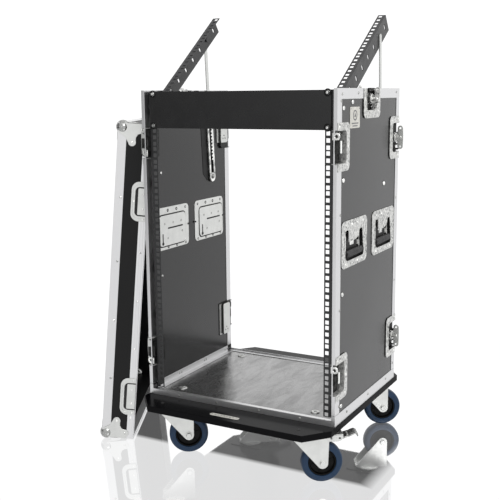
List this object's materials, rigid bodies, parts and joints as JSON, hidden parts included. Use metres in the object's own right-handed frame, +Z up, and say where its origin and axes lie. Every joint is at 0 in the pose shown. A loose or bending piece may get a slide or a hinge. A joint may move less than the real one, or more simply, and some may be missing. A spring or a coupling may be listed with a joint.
{
  "type": "equipment rack case",
  "caption": "Upright road case for rack equipment: open front and back, aluminium edges, tilting mixer rails on top, recessed latches and handles, castor board, front lid leaning beside it.",
  "frame": {"origin": "centre of the footprint of everything, case and leaning lid, on the floor", "axes": "+X to the case's right, +Y to its back, +Z up"},
  "size_m": [0.938, 0.5912, 1.1128],
  "materials": {
    "black_laminate": "satin laminate on plywood",
    "film_plywood": "gloss film on plywood",
    "anodised_aluminium": "satin anodised extrusion",
    "black_steel": "black powder coat",
    "zinc_plate": "mottled bright zinc plate",
    "grip_rubber": "moulded ribbed grip",
    "board_black": "black textured plywood board",
    "blue_wheel": "blue elastic tyre on a black hub",
    "black_plastic": "moulded plastic"
  },
  "bodies": {
    "case": {"side_panel_right": "black_laminate", "side_edging_right": "anodised_aluminium", "inner_angle_right": "anodised_aluminium", "rack_rail_right": "black_steel", "side_panel_left": "black_laminate", "side_edging_left": "anodised_aluminium", "inner_angle_left": "anodised_aluminium", "rack_rail_left": "black_steel", "base_panel": "film_plywood", "base_edging": "anodised_aluminium", "blank_panel": "black_steel", "castor_board": "board_black", "handle_dish_right_front": "zinc_plate", "handle_dish_right_rear": "zinc_plate", "latch_housing_right_front_upper": "zinc_plate", "latch_housing_right_front_lower": "zinc_plate", "latch_housing_right_rear_upper": "zinc_plate", "latch_housing_right_rear_lower": "zinc_plate", "latch_housing_right_top": "zinc_plate", "handle_dish_left_front": "zinc_plate", "handle_dish_left_rear": "zinc_plate", "latch_housing_left_front_upper": "zinc_plate", "latch_housing_left_front_lower": "zinc_plate", "latch_housing_left_rear_upper": "zinc_plate", "latch_housing_left_rear_lower": "zinc_plate", "latch_housing_left_top": "zinc_plate"},
    "mixer_rail_right": {"mixer_rail_right": "black_steel"},
    "stay_channel_right": {"stay_channel_right": "zinc_plate"},
    "stay_rod_right": {"stay_rod_right": "zinc_plate"},
    "handle_bail_right_front": {"handle_bail_right_front": "grip_rubber"},
    "handle_bail_right_rear": {"handle_bail_right_rear": "grip_rubber"},
    "latch_wing_right_front_upper": {"latch_wing_right_front_upper": "zinc_plate"},
    "latch_wing_right_front_lower": {"latch_wing_right_front_lower": "zinc_plate"},
    "latch_wing_right_rear_upper": {"latch_wing_right_rear_upper": "zinc_plate"},
    "latch_wing_right_rear_lower": {"latch_wing_right_rear_lower": "zinc_plate"},
    "latch_wing_right_top": {"latch_wing_right_top": "zinc_plate"},
    "mixer_rail_left": {"mixer_rail_left": "black_steel"},
    "stay_channel_left": {"stay_channel_left": "zinc_plate"},
    "stay_rod_left": {"stay_rod_left": "zinc_plate"},
    "handle_bail_left_front": {"handle_bail_left_front": "grip_rubber"},
    "handle_bail_left_rear": {"handle_bail_left_rear": "grip_rubber"},
    "latch_wing_left_front_upper": {"latch_wing_left_front_upper": "zinc_plate"},
    "latch_wing_left_front_lower": {"latch_wing_left_front_lower": "zinc_plate"},
    "latch_wing_left_rear_upper": {"latch_wing_left_rear_upper": "zinc_plate"},
    "latch_wing_left_rear_lower": {"latch_wing_left_rear_lower": "zinc_plate"},
    "latch_wing_left_top": {"latch_wing_left_top": "zinc_plate"},
    "castor_fork_front_left": {"castor_fork_front_left": "zinc_plate"},
    "castor_wheel_front_left": {"castor_wheel_front_left": "blue_wheel"},
    "castor_fork_front_right": {"castor_fork_front_right": "zinc_plate"},
    "castor_wheel_front_right": {"castor_wheel_front_right": "blue_wheel"},
    "castor_brake_front_right": {"castor_brake_front_right": "black_plastic"},
    "castor_fork_rear_left": {"castor_fork_rear_left": "zinc_plate"},
    "castor_wheel_rear_left": {"castor_wheel_rear_left": "blue_wheel"},
    "castor_brake_rear_left": {"castor_brake_rear_left": "black_plastic"},
    "castor_fork_rear_right": {"castor_fork_rear_right": "zinc_plate"},
    "castor_wheel_rear_right": {"castor_wheel_rear_right": "blue_wheel"},
    "lid": {"lid_shell": "black_laminate", "lid_edging": "anodised_aluminium", "lid_rim": "anodised_aluminium"}
  },
  "joints": [
    {"name": "mixer_tilt_right", "type": "hinge", "parent": "case", "child": "mixer_rail_right", "pos_m": [0.41363, -0.14211, 0.89239], "axis": [1, 0, 0], "range_deg": [-34.4, 0]},
    {"name": "stay_swing_right", "type": "hinge", "parent": "case", "child": "stay_channel_right", "pos_m": [0.41763, 0.09415, 0.6848], "axis": [1, 0, 0], "range_deg": [-11.9, 0.5]},
    {"name": "stay_slide_right", "type": "slide", "parent": "stay_channel_right", "child": "stay_rod_right", "axis": [0, -0.0451, 0.999], "range_m": [-0.1495, 0.001]},
    {"name": "handle_swing_right_front", "type": "hinge", "parent": "case", "child": "handle_bail_right_front", "pos_m": [0.42223, -0.10615, 0.5916], "axis": [0, -1, 0], "range_deg": [0, 90], "stiffness_Nm_per_rad": 0.4},
    {"name": "handle_swing_right_rear", "type": "hinge", "parent": "case", "child": "handle_bail_right_rear", "pos_m": [0.42223, 0.08705, 0.5916], "axis": [0, -1, 0], "range_deg": [0, 90], "stiffness_Nm_per_rad": 0.4},
    {"name": "latch_turn_right_front_upper", "type": "hinge", "parent": "case", "child": "latch_wing_right_front_upper", "pos_m": [0.42963, -0.19005, 0.792], "axis": [1, 0, 0], "range_deg": [-20, 20]},
    {"name": "latch_turn_right_front_lower", "type": "hinge", "parent": "case", "child": "latch_wing_right_front_lower", "pos_m": [0.42963, -0.19005, 0.258], "axis": [1, 0, 0], "range_deg": [-20, 20]},
    {"name": "latch_turn_right_rear_upper", "type": "hinge", "parent": "case", "child": "latch_wing_right_rear_upper", "pos_m": [0.42963, 0.16785, 0.797], "axis": [1, 0, 0], "range_deg": [0, 180]},
    {"name": "latch_turn_right_rear_lower", "type": "hinge", "parent": "case", "child": "latch_wing_right_rear_lower", "pos_m": [0.42963, 0.16785, 0.271], "axis": [1, 0, 0], "range_deg": [0, 180]},
    {"name": "latch_turn_right_top", "type": "hinge", "parent": "case", "child": "latch_wing_right_top", "pos_m": [0.42963, -0.00565, 0.896], "axis": [1, 0, 0], "range_deg": [0, 180]},
    {"name": "mixer_tilt_left", "type": "hinge", "parent": "case", "child": "mixer_rail_left", "pos_m": [-0.07437, -0.14211, 0.89239], "axis": [1, 0, 0], "range_deg": [-37.5, 0]},
    {"name": "stay_swing_left", "type": "hinge", "parent": "case", "child": "stay_channel_left", "pos_m": [-0.07837, 0.09415, 0.6848], "axis": [1, 0, 0], "range_deg": [-13.2, 0.5]},
    {"name": "stay_slide_left", "type": "slide", "parent": "stay_channel_left", "child": "stay_rod_left", "axis": [0, -0.0664, 0.9978], "range_m": [-0.1617, 0.001]},
    {"name": "handle_swing_left_front", "type": "hinge", "parent": "case", "child": "handle_bail_left_front", "pos_m": [-0.08297, -0.10615, 0.5916], "axis": [0, 1, 0], "range_deg": [0, 90], "stiffness_Nm_per_rad": 0.4},
    {"name": "handle_swing_left_rear", "type": "hinge", "parent": "case", "child": "handle_bail_left_rear", "pos_m": [-0.08297, 0.08705, 0.5916], "axis": [0, 1, 0], "range_deg": [0, 90], "stiffness_Nm_per_rad": 0.4},
    {"name": "latch_turn_left_front_upper", "type": "hinge", "parent": "case", "child": "latch_wing_left_front_upper", "pos_m": [-0.09037, -0.19005, 0.792], "axis": [-1, 0, 0], "range_deg": [-8, 8]},
    {"name": "latch_turn_left_front_lower", "type": "hinge", "parent": "case", "child": "latch_wing_left_front_lower", "pos_m": [-0.09037, -0.19005, 0.258], "axis": [-1, 0, 0], "range_deg": [0, 180]},
    {"name": "latch_turn_left_rear_upper", "type": "hinge", "parent": "case", "child": "latch_wing_left_rear_upper", "pos_m": [-0.09037, 0.16785, 0.797], "axis": [-1, 0, 0], "range_deg": [0, 180]},
    {"name": "latch_turn_left_rear_lower", "type": "hinge", "parent": "case", "child": "latch_wing_left_rear_lower", "pos_m": [-0.09037, 0.16785, 0.271], "axis": [-1, 0, 0], "range_deg": [0, 180]},
    {"name": "latch_turn_left_top", "type": "hinge", "parent": "case", "child": "latch_wing_left_top", "pos_m": [-0.09037, -0.00565, 0.896], "axis": [-1, 0, 0], "range_deg": [0, 180]},
    {"name": "castor_swivel_front_left", "type": "hinge", "parent": "case", "child": "castor_fork_front_left", "pos_m": [-0.01737, -0.21765, 0.125], "axis": [0, 0, 1], "continuous": true},
    {"name": "castor_roll_front_left", "type": "hinge", "parent": "castor_fork_front_left", "child": "castor_wheel_front_left", "pos_m": [0.0145, -0.19695, 0.05], "axis": [0.5446, -0.8387, 0], "continuous": true},
    {"name": "castor_swivel_front_right", "type": "hinge", "parent": "case", "child": "castor_fork_front_right", "pos_m": [0.35663, -0.21765, 0.125], "axis": [0, 0, 1], "continuous": true},
    {"name": "castor_roll_front_right", "type": "hinge", "parent": "castor_fork_front_right", "child": "castor_wheel_front_right", "pos_m": [0.3885, -0.19695, 0.05], "axis": [0.5446, -0.8387, 0], "continuous": true},
    {"name": "castor_brake_front_right", "type": "hinge", "parent": "castor_fork_front_right", "child": "castor_brake_front_right", "pos_m": [0.41031, -0.18279, 0.112], "axis": [0.5446, -0.8387, 0], "range_deg": [-10, 0]},
    {"name": "castor_swivel_rear_left", "type": "hinge", "parent": "case", "child": "castor_fork_rear_left", "pos_m": [-0.01737, 0.19435, 0.125], "axis": [0, 0, 1], "continuous": true},
    {"name": "castor_roll_rear_left", "type": "hinge", "parent": "castor_fork_rear_left", "child": "castor_wheel_rear_left", "pos_m": [0.0145, 0.21505, 0.05], "axis": [0.5446, -0.8387, 0], "continuous": true},
    {"name": "castor_brake_rear_left", "type": "hinge", "parent": "castor_fork_rear_left", "child": "castor_brake_rear_left", "pos_m": [0.03631, 0.22921, 0.112], "axis": [0.5446, -0.8387, 0], "range_deg": [-10, 0]},
    {"name": "castor_swivel_rear_right", "type": "hinge", "parent": "case", "child": "castor_fork_rear_right", "pos_m": [0.35663, 0.19435, 0.125], "axis": [0, 0, 1], "continuous": true},
    {"name": "castor_roll_rear_right", "type": "hinge", "parent": "castor_fork_rear_right", "child": "castor_wheel_rear_right", "pos_m": [0.3885, 0.21505, 0.05], "axis": [0.5446, -0.8387, 0], "continuous": true},
    {"name": "lid_set_aside", "type": "slide", "parent": "case", "child": "lid", "axis": [-1, 0, 0], "range_m": [0, 0.4]}
  ],
  "couplings": [
    {"joint": "stay_swing_right", "follows": "mixer_tilt_right", "ratio": 0.31796},
    {"joint": "stay_slide_right", "follows": "mixer_tilt_right", "m_per_rad": 0.24791},
    {"joint": "stay_swing_left", "follows": "mixer_tilt_left", "ratio": 0.32439},
    {"joint": "stay_slide_left", "follows": "mixer_tilt_left", "m_per_rad": 0.24596}
  ]
}
